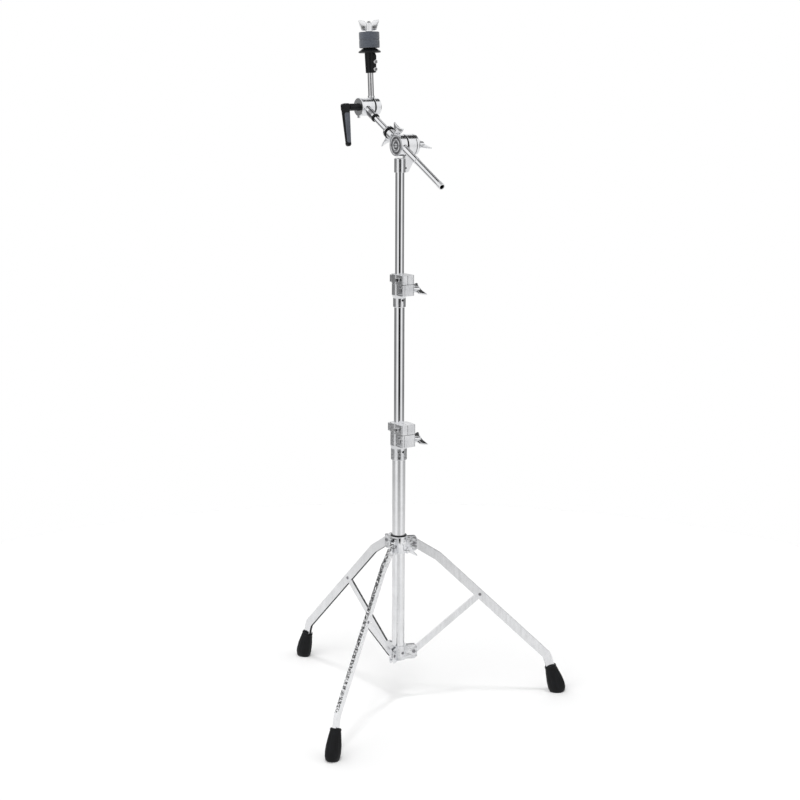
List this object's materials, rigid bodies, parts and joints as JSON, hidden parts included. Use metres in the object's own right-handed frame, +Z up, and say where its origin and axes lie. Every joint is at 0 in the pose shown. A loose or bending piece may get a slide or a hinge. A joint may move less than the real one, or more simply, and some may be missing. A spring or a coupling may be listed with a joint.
{
  "type": "cymbal boom stand",
  "caption": "Free-standing cymbal stand: folding tripod, two sliding tubes with clamps and memory locks, boom tilter, short boom and a lever-locked cymbal tilter with felts and wing nut.",
  "frame": {"origin": "bottom centre of the bounding box of the stand as it stands: on the floor, near the foot of the column", "axes": "+Z up along the column; the picture looks along +Y with +X to its right; the boom runs up to the rear left"},
  "size_m": [0.6224, 0.66, 1.4969],
  "materials": {
    "bright_chrome": "mirror-bright chrome plate on drawn tube",
    "satin_chrome": "chrome plate over brushed steel, a little softer than the upper tubes",
    "chromed_casting": "bright chrome plate on zinc castings with soft edges",
    "plated_steel": "bright zinc-plated turned steel",
    "black_nylon": "moulded black nylon, satin gloss",
    "white_nylon": "natural white nylon",
    "friction_ring": "dull black fibre friction ring",
    "foot_rubber": "moulded black rubber with shallow ribs",
    "grey_felt": "dense pressed wool felt, dark blue-grey heather"
  },
  "bodies": {
    "base": {"base_tube": "satin_chrome", "brace_bracket": "satin_chrome", "bracket_rivets": "plated_steel", "base_clamp_body": "chromed_casting", "base_clamp_bush": "white_nylon", "base_clamp_bolt": "plated_steel"},
    "base_clamp_nut": {"base_clamp_wing_nut": "chromed_casting"},
    "lower_lock": {"lower_lock_block_jaw": "chromed_casting", "lower_lock_small_jaw": "chromed_casting", "lower_lock_key_screw": "plated_steel"},
    "middle_section": {"middle_tube": "bright_chrome", "middle_tube_glide": "white_nylon", "middle_clamp_body": "chromed_casting", "middle_clamp_bush": "white_nylon", "middle_clamp_bolt": "plated_steel"},
    "middle_clamp_nut": {"middle_clamp_wing_nut": "chromed_casting"},
    "upper_lock": {"upper_lock_block_jaw": "chromed_casting", "upper_lock_small_jaw": "chromed_casting", "upper_lock_key_screw": "plated_steel"},
    "upper_section": {"upper_tube": "bright_chrome", "upper_tube_glide": "white_nylon", "tilter_base": "chromed_casting", "tilter_end_cap": "chromed_casting"},
    "holder": {"boom_holder": "chromed_casting", "tilter_ring_cap": "chromed_casting", "tilter_friction_disc": "friction_ring", "tilter_eyebolt": "plated_steel", "boom_guide_sleeve": "bright_chrome"},
    "tilter_nut": {"tilter_wing_nut": "chromed_casting"},
    "boom_screw": {"boom_wing_screw": "chromed_casting"},
    "stop_collar": {"boom_stop_collar": "chromed_casting"},
    "stop_screw": {"stop_collar_wing_screw": "chromed_casting"},
    "boom": {"boom_tube": "bright_chrome", "boom_ferrule": "bright_chrome", "cymbal_tilter_base": "chromed_casting", "cymbal_friction_disc": "friction_ring", "cymbal_tilter_bolt": "plated_steel"},
    "lever": {"tilter_lever": "black_nylon"},
    "post": {"cymbal_tilter_top": "chromed_casting", "cymbal_post": "plated_steel", "cymbal_seat": "black_nylon", "seat_key_screws": "plated_steel", "lower_felt": "grey_felt", "upper_felt": "grey_felt"},
    "cymbal_nut": {"cymbal_wing_nut": "chromed_casting"},
    "collar": {"leg_collar": "chromed_casting", "collar_pivot_pins": "plated_steel"},
    "collar_bolt": {"collar_wing_bolt": "chromed_casting"},
    "front_brace": {"front_brace": "satin_chrome"},
    "front_leg": {"front_leg": "satin_chrome", "front_foot": "foot_rubber", "front_leg_pin": "plated_steel"},
    "right_brace": {"right_brace": "satin_chrome"},
    "right_leg": {"right_leg": "satin_chrome", "right_foot": "foot_rubber", "right_leg_pin": "plated_steel"},
    "left_brace": {"left_brace": "satin_chrome"},
    "left_leg": {"left_leg": "satin_chrome", "left_foot": "foot_rubber", "left_leg_pin": "plated_steel"}
  },
  "joints": [
    {"name": "tripod_fold", "type": "hinge", "parent": "base", "child": "front_brace", "pos_m": [-0.08055, -0.00469, 0.1136], "axis": [-0.9304, 0.3665, 0], "range_deg": [-9, 41]},
    {"name": "front_leg_turn", "type": "hinge", "parent": "front_brace", "child": "front_leg", "pos_m": [-0.13528, -0.14362, 0.23979], "axis": [-0.9304, 0.3665, 0], "range_deg": [-83, 19]},
    {"name": "collar_level", "type": "hinge", "parent": "front_leg", "child": "collar", "pos_m": [-0.08055, -0.00469, 0.36597], "axis": [-0.9304, 0.3665, 0], "range_deg": [-10, 42]},
    {"name": "right_brace_turn", "type": "hinge", "parent": "base", "child": "right_brace", "pos_m": [-0.03379, 0.03251, 0.1136], "axis": [0.1478, -0.989, 0], "range_deg": [-10, 42]},
    {"name": "right_leg_turn", "type": "hinge", "parent": "collar", "child": "right_leg", "pos_m": [-0.03379, 0.03251, 0.36597], "axis": [0.1478, -0.989, 0], "range_deg": [-42, 10]},
    {"name": "left_brace_turn", "type": "hinge", "parent": "base", "child": "left_brace", "pos_m": [-0.08939, 0.05441, 0.1136], "axis": [0.7826, 0.6225, 0], "range_deg": [-10, 42]},
    {"name": "left_leg_turn", "type": "hinge", "parent": "collar", "child": "left_leg", "pos_m": [-0.08939, 0.05441, 0.36597], "axis": [0.7826, 0.6225, 0], "range_deg": [-42, 10]},
    {"name": "collar_bolt_turn", "type": "hinge", "parent": "collar", "child": "collar_bolt", "pos_m": [-0.04825, 0.01364, 0.353], "axis": [0.8192, -0.5736, 0], "continuous": true},
    {"name": "base_clamp_nut_turn", "type": "hinge", "parent": "base", "child": "base_clamp_nut", "pos_m": [-0.03681, 0.01624, 0.602], "axis": [0.8387, 0.5446, 0], "continuous": true},
    {"name": "middle_section_swivel", "type": "hinge", "parent": "base", "child": "lower_lock", "pos_m": [-0.06791, 0.02741, 0.6155], "axis": [0, 0, 1], "continuous": true},
    {"name": "middle_section_slide", "type": "slide", "parent": "lower_lock", "child": "middle_section", "axis": [0, 0, 1], "range_m": [-0.235, 0.12]},
    {"name": "middle_clamp_nut_turn", "type": "hinge", "parent": "middle_section", "child": "middle_clamp_nut", "pos_m": [-0.04085, 0.01696, 0.931], "axis": [0.8387, 0.5446, 0], "continuous": true},
    {"name": "upper_section_swivel", "type": "hinge", "parent": "middle_section", "child": "upper_lock", "pos_m": [-0.06791, 0.02741, 0.943], "axis": [0, 0, 1], "continuous": true},
    {"name": "upper_section_slide", "type": "slide", "parent": "upper_lock", "child": "upper_section", "axis": [0, 0, 1], "range_m": [-0.205, 0.16]},
    {"name": "boom_tilt", "type": "hinge", "parent": "upper_section", "child": "holder", "pos_m": [-0.06791, 0.02741, 1.2365], "axis": [0.8387, 0.5446, 0], "range_deg": [-75, 30]},
    {"name": "tilter_nut_turn", "type": "hinge", "parent": "holder", "child": "tilter_nut", "pos_m": [-0.03336, 0.04985, 1.2365], "axis": [0.8387, 0.5446, 0], "continuous": true},
    {"name": "boom_screw_turn", "type": "hinge", "parent": "holder", "child": "boom_screw", "pos_m": [-0.07434, 0.03419, 1.26251], "axis": [0.2473, -0.3807, 0.891], "continuous": true},
    {"name": "boom_spin", "type": "hinge", "parent": "holder", "child": "stop_collar", "pos_m": [-0.09115, 0.06007, 1.26252], "axis": [0.4853, -0.7473, -0.454], "continuous": true},
    {"name": "boom_slide", "type": "slide", "parent": "stop_collar", "child": "boom", "axis": [0.4853, -0.7473, -0.454], "range_m": [-0.088, 0.045]},
    {"name": "stop_screw_turn", "type": "hinge", "parent": "stop_collar", "child": "stop_screw", "pos_m": [-0.09436, 0.06502, 1.25094], "axis": [-0.2473, 0.3807, -0.891], "continuous": true},
    {"name": "post_tilt", "type": "hinge", "parent": "boom", "child": "post", "pos_m": [-0.13001, 0.15701, 1.31173], "axis": [0.8387, 0.5446, 0], "range_deg": [-90, 80]},
    {"name": "lever_turn", "type": "hinge", "parent": "boom", "child": "lever", "pos_m": [-0.16692, 0.13305, 1.31173], "axis": [-0.8387, -0.5446, 0], "continuous": true},
    {"name": "cymbal_nut_turn", "type": "hinge", "parent": "post", "child": "cymbal_nut", "pos_m": [-0.13566, 0.1657, 1.47196], "axis": [-0.0351, 0.0541, 0.9979], "continuous": true}
  ],
  "couplings": [
    {"joint": "front_leg_turn", "follows": "tripod_fold", "ratio": -2},
    {"joint": "collar_level", "follows": "tripod_fold", "ratio": 1},
    {"joint": "right_brace_turn", "follows": "tripod_fold", "ratio": 1},
    {"joint": "right_leg_turn", "follows": "tripod_fold", "ratio": -1},
    {"joint": "left_brace_turn", "follows": "tripod_fold", "ratio": 1},
    {"joint": "left_leg_turn", "follows": "tripod_fold", "ratio": -1}
  ]
}
